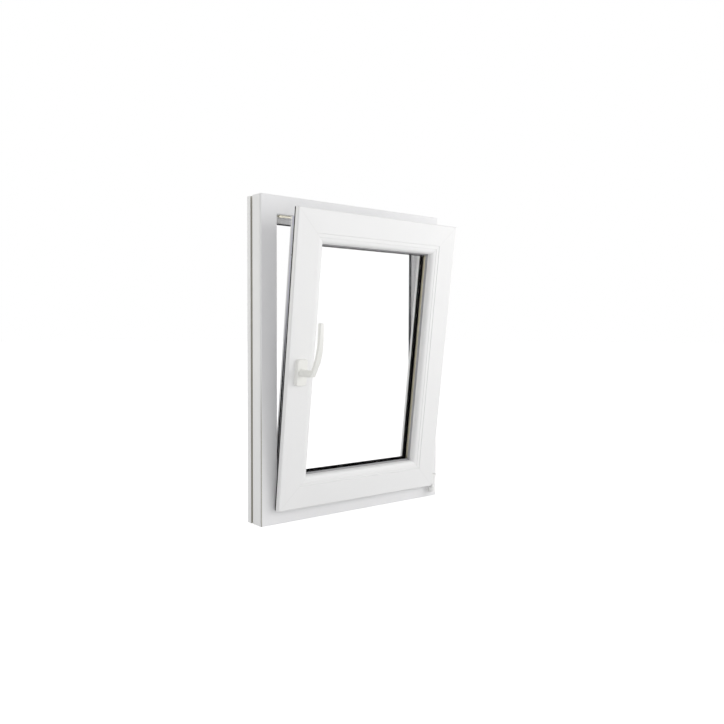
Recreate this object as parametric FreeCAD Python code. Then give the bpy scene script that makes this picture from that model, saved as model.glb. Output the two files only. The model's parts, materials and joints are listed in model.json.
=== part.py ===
import FreeCAD, Part
import math
import os

# A tilt and turn window: outer frame, double glazed sash, turning handle and hinge hardware.
# Millimetres, +Z up, the room on the -Y side. The origin is the middle of the sill's underside.
# Depths are counted from the frame's room face towards the outside, so the room side is negative.
# Widths are counted from the outer edge of the frame, or of the sash, towards the glass.
# The sash and all it carries are drawn shut, and then tipped into the room by TILT_OPEN.

V = FreeCAD.Vector
ALONG = V(1, 0, 0)
OUTWARD = V(0, 1, 0)
UP = V(0, 0, 1)

# Outer frame profile
FRAME_WIDTH = 550.0
FRAME_HEIGHT = 750.0
FRAME_DEPTH = 60.0
FRAME_FACE = 42.0
FRAME_ARRIS = 1.5
REBATE_FALL = 2.0
STOP_RISE = 14.0
STOP_THICKNESS = 15.0
STOP_CHAMFER = 10.0
ANCHOR_GROOVE_SETBACK = 37.0
ANCHOR_GROOVE_WIDTH = 9.0
ANCHOR_GROOVE_DEPTH = 20.0
FACE_SCORE_SETBACK = 2.6
FACE_SCORE_WIDTH = 2.4
FACE_SCORE_DEPTH = 2.4

# Sash profile and its clearances in the frame
SASH_REVEAL = 33.0
SASH_PROUD = 18.0
SASH_FLAT = 53.0
SASH_ARRIS = 3.0
SASH_EASE = 0.8
OVERLAP_GAP = 6.0
REBATE_GAP = 11.0
STOP_GAP = 5.0
LEG_THICKNESS = 10.0
LEG_SLOPE = 3.0
HARDWARE_GROOVE_SETBACK = 12.0
HARDWARE_GROOVE_WIDTH = 16.0
HARDWARE_GROOVE_DEPTH = 2.0

# Glazing
BEAD_WIDTH = 22.0
BEAD_SETBACK = 0.8
BEAD_FLAT = 8.0
BEAD_STEP = 0.9
BEAD_FALL = 1.6
BEAD_ROUND = 10.0
PANE_THICKNESS = 4.0
CAVITY = 8.0
PANE_EDGE_GAP = 5.0
SPACER_SETBACK = 1.0
SPACER_HEIGHT = 8.0
INNER_GASKET = 5.0
OUTER_GASKET = 10.0
GASKET_FOOT = 5.0
GASKET_SETBACK = 0.6
INNER_LIP = 3.2
INNER_LIP_TIP = 1.0
OUTER_LIP = 3.8
OUTER_LIP_TIP = 2.0

# Weather seals
SEAL_CLEARANCE = 0.8
OVERLAP_SEAL_WIDTH = 7.0
OVERLAP_SEAL_SETBACK = 0.6
OVERLAP_SEAL_ROUND = 1.6
STOP_SEAL_FOOT = 1.0
STOP_SEAL_WALL = 1.0
STOP_SEAL_WRAP = 4.0
STOP_SEAL_ROUND = 0.8

# Locking hardware
FACEPLATE_THICKNESS = 3.0
FACEPLATE_END_GAP = 45.0
CAM_RADIUS = 4.5
CAM_HEIGHT = 4.0
CAM_NECK_RADIUS = 3.0
CAM_NECK_HEIGHT = 1.5
CAM_KEEP_GAP = 12.0
KEEP_LENGTH = 40.0
KEEP_WIDTH = 18.0
KEEP_THICKNESS = 5.0
KEEP_SETBACK = 9.0
KEEP_LIP = 4.0
KEEP_FLOOR = 1.5
KEEP_CORNER_GAP = 12.0
KEEP_EASE = 0.8
KEEP_KNOB_RADIUS = 4.4
KEEP_KNOB_HEIGHT = 5.4
KEEP_KNOB_INSET = 5.0
JAMB_KEEP_HEIGHT = 560.0

# Hinges
TILT_OPEN = 7.0
HINGE_AXIS_CLEARANCE = 8.0
HINGE_AXIS_FORWARD = 12.0
TILT_AXIS_DROP = 5.0
BALL_RADIUS = 5.0
POST_RADIUS = 4.0
POST_LENGTH = 35.0
BALL_FACET = 45.0
PIVOT_CLEARANCE = 0.3
CUP_RADIUS = 9.0
CUP_HEIGHT = 13.0
CUP_RIM_DROP = 1.0
BARREL_WALL = 2.7
BARREL_LIFT = 9.0
BARREL_LENGTH = 27.0
STRAP_WIDTH = 10.0
BEARING_PLATE = 4.0
BEARING_WIDTH = 18.0
STAY_BARREL_RADIUS = 6.0
STAY_BARREL_LENGTH = 42.0
STAY_BARREL_GAP = 1.6

# Stay that holds the tilted sash
STAY_LENGTH = 250.0
STAY_WIDTH = 8.0
STAY_THICKNESS = 3.0
STAY_LIFT = 5.0
STAY_EYE_RADIUS = 7.0
STUD_RADIUS = 3.5
STUD_PLATE = 1.5
STUD_PLATE_LENGTH = 30.0
STAY_STRIP_THICKNESS = 2.5
STAY_STRIP_HEIGHT = 8.0
STAY_STRIP_LENGTH = 30.0
KNUCKLE_RADIUS = 5.0
KNUCKLE_HEIGHT = 10.0
KNUCKLE_WEB = 4.0

# Handle
HANDLE_SETBACK = 33.0
HANDLE_HEIGHT = 321.0
ROSETTE_WIDTH = 28.0
ROSETTE_HEIGHT = 60.0
ROSETTE_THICKNESS = 9.0
ROSETTE_CORNER = 6.0
ROSETTE_ARRIS = 1.6
HANDLE_RUNNING_GAP = 0.4
COLLAR_RADIUS = 9.0
COLLAR_LENGTH = 2.6
NECK_RADIUS = 7.6
NECK_TIP_RADIUS = 7.0
NECK_REACH = 49.0
NECK_RISE = 5.0
GRIP_LENGTH = 120.5
GRIP_DROP = 3.0
GRIP_BOW = 23.9
GRIP_WIDTH = 16.0
GRIP_ARRIS = 1.8

# Cross sections of the grip, from its toe to its tip: shares of the length, of the bow in front and at
# the back, and of the width
GRIP_SECTIONS = [
    (0.000, 0.075, 0.000, 0.81),
    (0.045, 0.157, 0.000, 0.86),
    (0.100, 0.290, 0.010, 0.90),
    (0.165, 0.435, 0.175, 0.94),
    (0.225, 0.580, 0.305, 0.97),
    (0.290, 0.705, 0.420, 1.00),
    (0.347, 0.785, 0.510, 1.00),
    (0.404, 0.850, 0.580, 1.00),
    (0.461, 0.905, 0.628, 0.98),
    (0.518, 0.950, 0.655, 0.94),
    (0.575, 0.982, 0.664, 0.89),
    (0.633, 1.000, 0.658, 0.83),
    (0.715, 1.000, 0.640, 0.77),
    (0.796, 0.980, 0.612, 0.73),
    (0.886, 0.940, 0.572, 0.70),
    (0.970, 0.893, 0.527, 0.68),
    (0.990, 0.870, 0.540, 0.64),
    (1.000, 0.830, 0.580, 0.56),
]

# Drainage caps
DRAIN_CAP_LENGTH = 36.0
DRAIN_CAP_HEIGHT = 10.0
DRAIN_CAP_DEPTH = 4.0
DRAIN_CAP_SETBACK = 110.0
DRAIN_CAP_LIFT = 14.0

# Places worked out from the sizes above
ROOM_FACE = -FRAME_DEPTH / 2
STOP_FACE = FRAME_DEPTH - STOP_THICKNESS
STOP_TIP = FRAME_FACE + REBATE_FALL + STOP_RISE
FRAME_RECT = (-FRAME_WIDTH / 2, 0.0, FRAME_WIDTH / 2, FRAME_HEIGHT)
SASH_RECT = (
    FRAME_RECT[0] + SASH_REVEAL,
    FRAME_RECT[1] + SASH_REVEAL,
    FRAME_RECT[2] - SASH_REVEAL,
    FRAME_RECT[3] - SASH_REVEAL,
)
SASH_FACE = -SASH_PROUD
SASH_BACK = STOP_FACE - STOP_GAP
SASH_SIDE = FRAME_FACE + REBATE_GAP - SASH_REVEAL
SIGHT_LINE = SASH_FLAT + BEAD_WIDTH
LEG_FRONT = SASH_BACK - LEG_THICKNESS
OUTER_PANE_BACK = LEG_FRONT - OUTER_GASKET
OUTER_PANE_FRONT = OUTER_PANE_BACK - PANE_THICKNESS
INNER_PANE_BACK = OUTER_PANE_FRONT - CAVITY
INNER_PANE_FRONT = INNER_PANE_BACK - PANE_THICKNESS
BEAD_BACK = INNER_PANE_FRONT - INNER_GASKET
GROOVE_FLOOR = SASH_SIDE + HARDWARE_GROOVE_DEPTH
GROOVE_END = HARDWARE_GROOVE_SETBACK + HARDWARE_GROOVE_WIDTH
GROOVE_MIDDLE = HARDWARE_GROOVE_SETBACK + HARDWARE_GROOVE_WIDTH / 2
FACEPLATE_TOP = GROOVE_FLOOR - FACEPLATE_THICKNESS
HINGE_X = SASH_RECT[2] + HINGE_AXIS_CLEARANCE
HINGE_Y = ROOM_FACE - HINGE_AXIS_FORWARD
TILT_Z = SASH_RECT[1] - TILT_AXIS_DROP
TILT_CENTRE = V(HINGE_X, HINGE_Y, TILT_Z)
STAY_Z = SASH_RECT[3] - SASH_SIDE + STAY_LIFT


def rounded_face(corners, place):
    """Face inside (a, b, radius) corners, with each corner rounded and mapped to space by place."""
    spans = []
    for index, (a, b, radius) in enumerate(corners):
        corner = V(a, b, 0)
        before = V(*corners[index - 1][:2], 0) - corner
        after = V(*corners[(index + 1) % len(corners)][:2], 0) - corner
        if radius == 0:
            spans.append([corner])
            continue
        half = before.getAngle(after) / 2
        before.normalize()
        after.normalize()
        run = radius / math.tan(half)
        bisector = before + after
        bisector.normalize()
        crown = corner + bisector * (radius / math.sin(half) - radius)
        spans.append([corner + before * run, crown, corner + after * run])
    edges = []
    for index, span in enumerate(spans):
        points = [place(point.x, point.y) for point in span]
        following = spans[(index + 1) % len(spans)][0]
        if len(points) == 3:
            edges.append(Part.Arc(*points).toShape())
        edges.append(Part.LineSegment(points[-1], place(following.x, following.y)).toShape())
    return Part.Face(Part.Wire(edges))


def side_axes(side, rect):
    """Start corner, running direction, inward direction and length of one side of a rectangle."""
    x0, z0, x1, z1 = rect
    across = x1 - x0
    height = z1 - z0
    return {
        "bottom": (V(x0, ROOM_FACE, z0), ALONG, UP, across),
        "top": (V(x0, ROOM_FACE, z1), ALONG, -UP, across),
        "left": (V(x0, ROOM_FACE, z0), UP, ALONG, height),
        "right": (V(x1, ROOM_FACE, z0), UP, -ALONG, height),
    }[side]


def mitred_bar(corners, side, rect):
    """Profile run along one side of a rectangle and cut at 45 degrees at both ends."""
    start, along, inward, length = side_axes(side, rect)
    section = rounded_face(corners, lambda width, depth: start + inward * width + OUTWARD * depth)
    bar = section.extrude(along * length)
    reach = max(corner[0] for corner in corners) + 1
    shallow = min(corner[1] for corner in corners) - 1
    deep = max(corner[1] for corner in corners) + 1
    plan = [(0, 0), (length, 0), (length - reach, reach), (reach, reach), (0, 0)]
    outline = [start + along * run + inward * width + OUTWARD * shallow for run, width in plan]
    wedge = Part.Face(Part.makePolygon(outline)).extrude(OUTWARD * (deep - shallow))
    return bar.common(wedge).Solids[0]


def closed_ring(corners, rect):
    """One continuous loop of a profile round a rectangle."""
    bars = [mitred_bar(corners, side, rect) for side in ("top", "bottom", "left", "right")]
    return bars[0].fuse(bars[1:]).removeSplitter().Solids[0]


def block(low, high):
    """Upright block between two opposite corners."""
    size = high - low
    return Part.makeBox(size.x, size.y, size.z, low)


def spun(outline, centre, axis, across):
    """Solid of revolution from (radius, height) points about an axis through centre."""
    points = [centre + across * radius + axis * height for radius, height in outline]
    wire = Part.makePolygon(points + [points[0]])
    return Part.Face(wire).revolve(centre, axis, 360)


def tipped(shape):
    """The shape turned with the sash from shut to tilted open."""
    turned = shape.copy()
    turned.rotate(TILT_CENTRE, ALONG, TILT_OPEN)
    return turned


def rect_profile(width_start, width_end, depth_start, depth_end):
    """Plain rectangular profile."""
    return [
        (width_start, depth_start, 0),
        (width_end, depth_start, 0),
        (width_end, depth_end, 0),
        (width_start, depth_end, 0),
    ]


def frame_members():
    """Four welded members of the outer frame, with the rebate, the stop and the anchor groove."""
    groove_end = ANCHOR_GROOVE_SETBACK + ANCHOR_GROOVE_WIDTH
    score_end = FACE_SCORE_SETBACK + FACE_SCORE_WIDTH
    profile = [
        (0, 0, FRAME_ARRIS),
        (FRAME_FACE, 0, FRAME_ARRIS),
        (FRAME_FACE + REBATE_FALL, STOP_FACE, 0),
        (STOP_TIP, STOP_FACE, 0),
        (STOP_TIP, FRAME_DEPTH - STOP_CHAMFER, 0),
        (STOP_TIP - STOP_CHAMFER, FRAME_DEPTH, 0),
        (0, FRAME_DEPTH, 0),
        (0, groove_end, 0),
        (ANCHOR_GROOVE_DEPTH, groove_end, 0),
        (ANCHOR_GROOVE_DEPTH, ANCHOR_GROOVE_SETBACK, 0),
        (0, ANCHOR_GROOVE_SETBACK, 0),
        (0, score_end, 0),
        (FACE_SCORE_DEPTH, score_end, 0),
        (FACE_SCORE_DEPTH, FACE_SCORE_SETBACK, 0),
        (0, FACE_SCORE_SETBACK, 0),
    ]
    names = {
        "top": "frame_head",
        "bottom": "frame_sill",
        "left": "frame_left_jamb",
        "right": "frame_right_jamb",
    }
    return {name: mitred_bar(profile, side, FRAME_RECT) for side, name in names.items()}


def sash_members():
    """Four welded members of the sash, with the overlap, the hardware groove and the glazing rebate."""
    profile = [
        (0, SASH_FACE, SASH_ARRIS),
        (SASH_FLAT, SASH_FACE, SASH_EASE),
        (SASH_FLAT, LEG_FRONT, 0),
        (SIGHT_LINE, LEG_FRONT, 0),
        (SIGHT_LINE - LEG_SLOPE, SASH_BACK, 0),
        (SASH_SIDE, SASH_BACK, 0),
        (SASH_SIDE, GROOVE_END, 0),
        (GROOVE_FLOOR, GROOVE_END, 0),
        (GROOVE_FLOOR, HARDWARE_GROOVE_SETBACK, 0),
        (SASH_SIDE, HARDWARE_GROOVE_SETBACK, 0),
        (SASH_SIDE, -OVERLAP_GAP, 0),
        (0, -OVERLAP_GAP, SASH_EASE),
    ]
    names = {
        "top": "sash_top_rail",
        "bottom": "sash_bottom_rail",
        "left": "handle_stile",
        "right": "hinge_stile",
    }
    return {name: mitred_bar(profile, side, SASH_RECT) for side, name in names.items()}


def glazing_beads():
    """Four beads with a flat shoulder, a fine step and a round nose down to the glass."""
    shoulder = SASH_FACE + BEAD_SETBACK
    step = SASH_FLAT + BEAD_FLAT
    profile = [
        (SASH_FLAT, shoulder, SASH_EASE),
        (step, shoulder, 0),
        (step + BEAD_STEP, shoulder + BEAD_STEP, 0),
        (SIGHT_LINE, shoulder + BEAD_STEP + BEAD_FALL, BEAD_ROUND),
        (SIGHT_LINE, BEAD_BACK, 0),
        (SASH_FLAT, BEAD_BACK, 0),
    ]
    sides = ("top", "bottom", "left", "right")
    return {f"bead_{side}": mitred_bar(profile, side, SASH_RECT) for side in sides}


def glazing():
    """Two panes, the spacer between them and the gaskets that clamp them."""
    inset = SASH_FLAT + PANE_EDGE_GAP
    x0, z0, x1, z1 = SASH_RECT

    def pane(front):
        low = V(x0 + inset, ROOM_FACE + front, z0 + inset)
        high = V(x1 - inset, ROOM_FACE + front + PANE_THICKNESS, z1 - inset)
        return block(low, high)

    spacer_edge = SIGHT_LINE - SPACER_SETBACK
    gasket_edge = SIGHT_LINE - GASKET_SETBACK
    foot = gasket_edge - GASKET_FOOT
    spacer = rect_profile(spacer_edge - SPACER_HEIGHT, spacer_edge, INNER_PANE_BACK, OUTER_PANE_FRONT)
    inner = [
        (foot, BEAD_BACK, 0),
        (gasket_edge, BEAD_BACK, 0),
        (SIGHT_LINE + INNER_LIP, INNER_PANE_FRONT - INNER_LIP_TIP, 0),
        (SIGHT_LINE + INNER_LIP, INNER_PANE_FRONT, 0),
        (foot, INNER_PANE_FRONT, 0),
    ]
    outer = [
        (foot, OUTER_PANE_BACK, 0),
        (SIGHT_LINE + OUTER_LIP, OUTER_PANE_BACK, 0),
        (SIGHT_LINE + OUTER_LIP, OUTER_PANE_BACK + OUTER_LIP_TIP, 0),
        (gasket_edge, LEG_FRONT, 0),
        (foot, LEG_FRONT, 0),
    ]
    return {
        "inner_pane": pane(INNER_PANE_FRONT),
        "outer_pane": pane(OUTER_PANE_FRONT),
        "glass_spacer": closed_ring(spacer, SASH_RECT),
        "bead_gasket": closed_ring(inner, SASH_RECT),
        "outer_glazing_gasket": closed_ring(outer, SASH_RECT),
    }


def stop_seal():
    """Seal that wraps the tip of the frame's stop, which the shut sash presses."""
    crown = SASH_BACK + SEAL_CLEARANCE
    foot = STOP_TIP - STOP_SEAL_FOOT
    edge = STOP_TIP + STOP_SEAL_WALL
    profile = [
        (foot, crown, STOP_SEAL_ROUND),
        (edge, crown, STOP_SEAL_ROUND),
        (edge, STOP_FACE + STOP_SEAL_WRAP, 0),
        (STOP_TIP, STOP_FACE + STOP_SEAL_WRAP, 0),
        (STOP_TIP, STOP_FACE, 0),
        (foot, STOP_FACE, 0),
    ]
    return closed_ring(profile, FRAME_RECT)


def overlap_seal():
    """Seal behind the sash overlap, notched where the stay's strip passes to its hinge."""
    start = OVERLAP_SEAL_SETBACK
    end = start + OVERLAP_SEAL_WIDTH
    profile = [
        (start, -OVERLAP_GAP, 0),
        (end, -OVERLAP_GAP, 0),
        (end, -SEAL_CLEARANCE, OVERLAP_SEAL_ROUND),
        (start, -SEAL_CLEARANCE, OVERLAP_SEAL_ROUND),
    ]
    ring = closed_ring(profile, SASH_RECT)
    half = STAY_STRIP_HEIGHT / 2 + STAY_LIFT
    low = V(SASH_RECT[2] - end - 1, ROOM_FACE - OVERLAP_GAP, STAY_Z - half)
    high = V(SASH_RECT[2], ROOM_FACE, STAY_Z + half)
    return ring.cut(block(low, high)).Solids[0]


def faceplates():
    """Steel strips in the hardware groove of the handle stile, the top rail and the bottom rail."""
    plates = {}
    names = {"left": "handle_side_faceplate", "top": "stay_rail", "bottom": "bottom_faceplate"}
    for side, name in names.items():
        start, along, inward, length = side_axes(side, SASH_RECT)
        near = start + along * FACEPLATE_END_GAP + inward * FACEPLATE_TOP
        near += OUTWARD * HARDWARE_GROOVE_SETBACK
        strip = Part.Face(Part.makePolygon([
            near,
            near + inward * FACEPLATE_THICKNESS,
            near + inward * FACEPLATE_THICKNESS + OUTWARD * HARDWARE_GROOVE_WIDTH,
            near + OUTWARD * HARDWARE_GROOVE_WIDTH,
            near,
        ]))
        plates[name] = strip.extrude(along * (length - 2 * FACEPLATE_END_GAP)).Solids[0]
    return plates


def keep_spans():
    """Where each keep starts along its side of the frame, counted from the side's start corner."""
    corner = FRAME_FACE + KEEP_CORNER_GAP
    return {
        "head_keep": ("top", corner),
        "sill_tilt_keep": ("bottom", corner),
        "left_jamb_keep": ("left", JAMB_KEEP_HEIGHT),
    }


def keeps():
    """Strikers on the rebate floor: a foot with a raised lip that the cam runs behind, and a round stop."""
    solids = {}
    for name, (side, offset) in keep_spans().items():
        start, along, inward, length = side_axes(side, FRAME_RECT)

        def place(width, depth):
            return start + along * offset + inward * width + OUTWARD * depth

        def floor_at(depth):
            return FRAME_FACE + REBATE_FALL * depth / STOP_FACE

        near = KEEP_SETBACK
        far = KEEP_SETBACK + KEEP_WIDTH
        crest = floor_at(near) + KEEP_THICKNESS
        sole = floor_at(far) + KEEP_FLOOR
        profile = [
            (floor_at(near), near, 0),
            (crest, near, KEEP_EASE),
            (crest, near + KEEP_LIP, KEEP_EASE),
            (sole, near + KEEP_LIP, 0),
            (sole, far, KEEP_EASE),
            (floor_at(far), far, 0),
        ]
        striker = rounded_face(profile, place).extrude(along * KEEP_LENGTH)
        middle = near + KEEP_KNOB_RADIUS
        seat = place(floor_at(middle), middle) + along * KEEP_KNOB_INSET
        outline = [
            (0, KEEP_FLOOR / 2),
            (KEEP_KNOB_RADIUS, KEEP_FLOOR / 2),
            (KEEP_KNOB_RADIUS, KEEP_KNOB_HEIGHT - KEEP_EASE),
            (KEEP_KNOB_RADIUS - KEEP_EASE, KEEP_KNOB_HEIGHT),
            (0, KEEP_KNOB_HEIGHT),
        ]
        knob = spun(outline, seat, inward, along)
        solids[name] = striker.fuse(knob).removeSplitter().Solids[0]
    return solids


def locking_cams():
    """Mushroom cams on the faceplates, one clear of each keep."""
    cams = []
    for side, offset in keep_spans().values():
        start, along, inward, length = side_axes(side, SASH_RECT)
        run = offset - SASH_REVEAL + KEEP_LENGTH + CAM_KEEP_GAP
        seat = start + along * run + inward * FACEPLATE_TOP + OUTWARD * GROOVE_MIDDLE
        outline = [
            (0, 0),
            (CAM_NECK_RADIUS, 0),
            (CAM_NECK_RADIUS, CAM_NECK_HEIGHT),
            (CAM_RADIUS, CAM_NECK_HEIGHT),
            (CAM_RADIUS, CAM_HEIGHT),
            (0, CAM_HEIGHT),
        ]
        cams.append(spun(outline, seat, -inward, along))
    return Part.makeCompound(cams)


def corner_bearing():
    """Lower hinge bearing on the frame, with a round cup that carries the pivot's ball."""
    rim = TILT_Z - CUP_RIM_DROP
    base = rim - CUP_HEIGHT
    half = BEARING_WIDTH / 2
    cup = Part.makeCylinder(CUP_RADIUS, CUP_HEIGHT, V(HINGE_X, HINGE_Y, base))
    low = V(HINGE_X - half, ROOM_FACE - BEARING_PLATE, base)
    plate = block(low, V(HINGE_X + half, ROOM_FACE, rim))
    reach = (BALL_RADIUS + PIVOT_CLEARANCE) / math.cos(math.radians(BALL_FACET / 2))
    hollow = ball_outline(reach) + [(0, BALL_RADIUS)]
    socket = spun(hollow, TILT_CENTRE, UP, ALONG)
    return cup.fuse(plate).cut(socket).Solids[0]


def ball_outline(radius):
    """Half outline of a turned ball, from its lower pole up to its girth."""
    angles = [math.radians(step * BALL_FACET - 90) for step in range(int(90 / BALL_FACET) + 1)]
    return [(radius * math.cos(angle), radius * math.sin(angle)) for angle in angles]


def corner_pivot():
    """Ball and post on which the sash tilts in the cup and turns about the post."""
    post = [(POST_RADIUS, BALL_RADIUS), (POST_RADIUS, POST_LENGTH), (0, POST_LENGTH)]
    return spun(ball_outline(BALL_RADIUS) + post, TILT_CENTRE, UP, ALONG)


def hinge_strap():
    """Barrel on the sash's hinge edge that turns on the corner pivot's post."""
    bottom = TILT_CENTRE + UP * BARREL_LIFT
    bore = POST_RADIUS + PIVOT_CLEARANCE
    barrel = Part.makeCylinder(bore + BARREL_WALL, BARREL_LENGTH, bottom)
    half = STRAP_WIDTH / 2
    low = V(SASH_RECT[2], HINGE_Y - half, bottom.z)
    web = block(low, V(HINGE_X, HINGE_Y + half, bottom.z + BARREL_LENGTH))
    hole = Part.makeCylinder(bore, BARREL_LENGTH, bottom)
    return barrel.fuse(web).cut(hole).removeSplitter().Solids[0]


def stay_bearing():
    """Upper hinge bearing on the frame, under the stay's knuckle."""
    top = STAY_Z - KNUCKLE_HEIGHT / 2 - STAY_BARREL_GAP
    base = top - STAY_BARREL_LENGTH
    barrel = Part.makeCylinder(STAY_BARREL_RADIUS, STAY_BARREL_LENGTH, V(HINGE_X, HINGE_Y, base))
    half = BEARING_WIDTH / 2
    web = block(V(HINGE_X, HINGE_Y, base), V(HINGE_X + STAY_BARREL_RADIUS, ROOM_FACE, top))
    low = V(HINGE_X, ROOM_FACE - BEARING_PLATE, base)
    plate = block(low, V(HINGE_X + half, ROOM_FACE, top))
    return barrel.fuse([web, plate]).removeSplitter().Solids[0]


def stay_pivot():
    """Pivot of the stay on the shut sash and the axis about which it swings.

    The pivot lies midway between the places that the knuckle takes beside the shut and the tilted sash,
    so that the knuckle meets its bearing at both ends of the tilt.
    """
    tilt = math.radians(TILT_OPEN)
    knuckle = V(HINGE_X, HINGE_Y, STAY_Z)
    arm = knuckle - TILT_CENTRE
    swung = TILT_CENTRE + V(arm.x, arm.z * math.sin(tilt), arm.z * math.cos(tilt))
    chord = swung - knuckle
    half = chord.Length / 2
    run = math.sqrt(STAY_LENGTH ** 2 - half ** 2)
    middle = (knuckle + swung) * 0.5
    axis = ALONG.cross(chord)
    axis.normalize()
    centre = V(HINGE_X - run, middle.y, middle.z)
    centre += axis * ((STAY_Z - middle.z) / axis.z)
    swing = math.degrees(2 * math.asin(half / STAY_LENGTH))
    return centre, axis, swing


def stay_stud(rail):
    """Stay rail with the plate and the stud on which the stay swings."""
    centre, axis, swing = stay_pivot()
    seat = SASH_RECT[3] - SASH_SIDE
    edge = ROOM_FACE + HARDWARE_GROOVE_SETBACK
    reach = centre.y + STAY_EYE_RADIUS
    half = STUD_PLATE_LENGTH / 2
    plate = block(V(centre.x - half, edge, seat), V(centre.x + half, reach, seat + STUD_PLATE))
    sunk = (centre.z - seat - STUD_PLATE / 2) / axis.z
    stud = Part.makeCylinder(STUD_RADIUS, sunk + STAY_THICKNESS / 2, centre - axis * sunk, axis)
    return rail.fuse([plate, stud]).removeSplitter().Solids[0]


def stay_arm():
    """Stay with its eye on the stud and a cranked strip through the overlap gap to its knuckle."""
    centre, axis, swing = stay_pivot()
    half = STAY_WIDTH / 2
    low = STAY_Z - STAY_THICKNESS / 2
    strip_middle = ROOM_FACE - OVERLAP_GAP / 2
    strip_start = HINGE_X - STAY_STRIP_LENGTH
    near = strip_middle - STAY_STRIP_THICKNESS / 2
    far = strip_middle + STAY_STRIP_THICKNESS / 2
    bend = V(strip_start + STAY_WIDTH, near + half, low)
    eye = Part.makeCylinder(STAY_EYE_RADIUS, STAY_THICKNESS, V(centre.x, centre.y, low))
    run = bend - V(centre.x, centre.y, low)
    side = UP.cross(run)
    side.normalize()
    corners = [
        V(centre.x, centre.y, low) + side * half,
        V(centre.x, centre.y, low) - side * half,
        bend - side * half,
        bend + side * half,
    ]
    bar = Part.Face(Part.makePolygon(corners + corners[:1])).extrude(UP * STAY_THICKNESS)
    strip_low = STAY_Z - STAY_STRIP_HEIGHT / 2
    strip_high = STAY_Z + STAY_STRIP_HEIGHT / 2
    strip = block(V(strip_start, near, strip_low), V(HINGE_X + KNUCKLE_WEB / 2, far, strip_high))
    web_start = HINGE_X - KNUCKLE_WEB / 2
    web = block(V(web_start, HINGE_Y, strip_low), V(web_start + KNUCKLE_WEB, far, strip_high))
    knuckle_base = V(HINGE_X, HINGE_Y, STAY_Z - KNUCKLE_HEIGHT / 2)
    knuckle = Part.makeCylinder(KNUCKLE_RADIUS, KNUCKLE_HEIGHT, knuckle_base)
    hole_base = centre - axis * STAY_LIFT
    hole = Part.makeCylinder(STUD_RADIUS + PIVOT_CLEARANCE, 2 * STAY_LIFT, hole_base, axis)
    arm = bar.fuse([eye, strip, web, knuckle]).cut(hole).removeSplitter().Solids[0]
    arm.rotate(centre, axis, swing)
    return arm


def handle_seat():
    """Point on the sash face where the handle's axis leaves it."""
    return V(SASH_RECT[0] + HANDLE_SETBACK, ROOM_FACE + SASH_FACE, SASH_RECT[1] + HANDLE_HEIGHT)


def handle_rosette():
    """Flat plate with rounded corners between the sash and the handle."""
    seat = handle_seat()
    half_width = ROSETTE_WIDTH / 2
    half_height = ROSETTE_HEIGHT / 2
    corners = [
        (-half_width, -half_height, ROSETTE_CORNER),
        (half_width, -half_height, ROSETTE_CORNER),
        (half_width, half_height, ROSETTE_CORNER),
        (-half_width, half_height, ROSETTE_CORNER),
    ]
    base = rounded_face(corners, lambda across, height: seat + ALONG * across + UP * height)
    plate = base.extrude(-OUTWARD * ROSETTE_THICKNESS)
    front = seat.y - ROSETTE_THICKNESS
    rim = [edge for edge in plate.Edges if edge.BoundBox.YMax < front + 0.01]
    return plate.makeChamfer(ROSETTE_ARRIS, rim)


def handle_neck():
    """Turned collar on the rosette, and a tapering neck that lifts towards the grip."""
    seat = handle_seat()
    start = ROSETTE_THICKNESS + HANDLE_RUNNING_GAP
    shoulder = start + COLLAR_LENGTH
    root = shoulder + COLLAR_RADIUS - NECK_RADIUS
    outline = [
        (0, start),
        (COLLAR_RADIUS, start),
        (COLLAR_RADIUS, shoulder),
        (NECK_RADIUS, root),
        (0, root),
    ]
    collar = spun(outline, seat, -OUTWARD, ALONG)
    rings = []
    for share in (0, 0.25, 0.5, 0.75, 1):
        reach = root + share * (NECK_REACH - root)
        centre = seat - OUTWARD * reach + UP * (NECK_RISE * share ** 1.5)
        radius = NECK_RADIUS + share * (NECK_TIP_RADIUS - NECK_RADIUS)
        rings.append(Part.Wire(Part.makeCircle(radius, centre, OUTWARD)))
    stem = Part.makeLoft(rings, True, True)
    return collar.fuse(stem).removeSplitter().Solids[0]


def handle_grip():
    """Flat lever on the neck's end, which bows into the room and narrows to its tip."""
    seat = handle_seat()
    rings = []
    for run, front_share, back_share, width_share in GRIP_SECTIONS:
        level = seat + UP * (run * GRIP_LENGTH - GRIP_DROP)
        front = NECK_REACH + front_share * GRIP_BOW
        back = NECK_REACH + back_share * GRIP_BOW
        half = width_share * GRIP_WIDTH / 2
        ease = min(GRIP_ARRIS, (front - back) / 3)
        plan = [
            (ease - half, back),
            (half - ease, back),
            (half, back + ease),
            (half, front - ease),
            (half - ease, front),
            (ease - half, front),
            (-half, front - ease),
            (-half, back + ease),
        ]
        points = [level + ALONG * across - OUTWARD * reach for across, reach in plan]
        rings.append(Part.makePolygon(points + points[:1]))
    return Part.makeLoft(rings, True, True).Solids[0]


def drain_caps():
    """Hooded caps over the drain slots in the outside face of the sill."""
    caps = []
    for direction in (-1, 1):
        middle = direction * (FRAME_WIDTH / 2 - DRAIN_CAP_SETBACK)
        back = ROOM_FACE + FRAME_DEPTH
        left = middle - DRAIN_CAP_LENGTH / 2
        top = DRAIN_CAP_LIFT + DRAIN_CAP_HEIGHT
        outline = [
            V(left, back, DRAIN_CAP_LIFT),
            V(left, back + DRAIN_CAP_DEPTH, DRAIN_CAP_LIFT),
            V(left, back, top),
            V(left, back, DRAIN_CAP_LIFT),
        ]
        caps.append(Part.Face(Part.makePolygon(outline)).extrude(ALONG * DRAIN_CAP_LENGTH))
    return Part.makeCompound(caps)


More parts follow.
